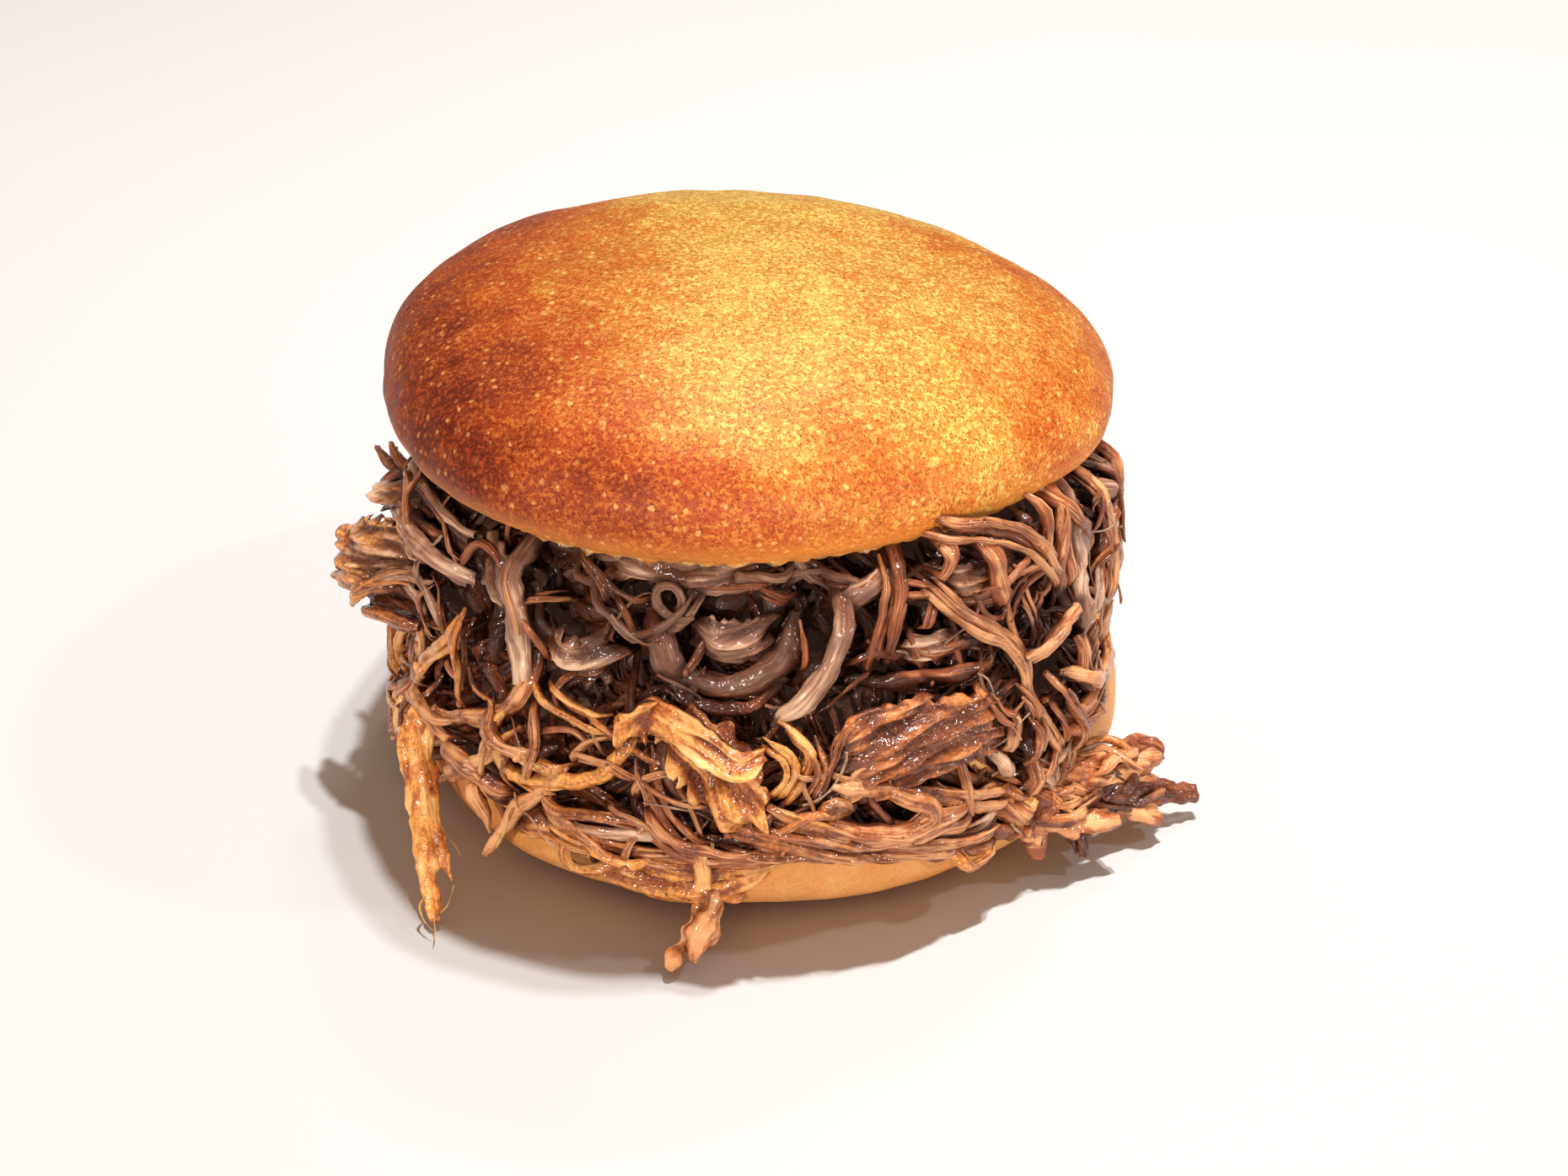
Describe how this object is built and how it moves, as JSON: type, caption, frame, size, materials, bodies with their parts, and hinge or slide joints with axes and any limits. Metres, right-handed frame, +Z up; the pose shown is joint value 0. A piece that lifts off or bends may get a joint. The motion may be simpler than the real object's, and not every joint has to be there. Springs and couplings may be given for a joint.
{
  "type": "pulled pork sandwich",
  "caption": "Pulled pork sandwich: a soft round roll cut in two, with a tall tangled heap of shredded pork between the halves and shreds hanging over the rim.",
  "frame": {"origin": "middle of the flat underside of the roll's bottom half", "axes": "-Z out of the underside, +Z up; +X to the eater's right, the longest side, where the clump of shreds sticks out; -Y the front, towards the eater"},
  "size_m": [0.1334, 0.1296, 0.0839],
  "materials": {
    "crust_top": "baked crust, satin, orange brown with fine pale mottling; pale crumb on the cut face",
    "crust_bottom": "baked crust, matt golden; pale crumb on the cut face",
    "pork": "moist cooked pork, pale to brown, with a thin glossy sauce"
  },
  "bodies": {
    "root": {"bun_top": "crust_top", "bun_bottom": "crust_bottom", "pork_heap": "pork", "hanging_strip": "pork", "front_shred": "pork", "right_clump": "pork"}
  },
  "joints": []
}
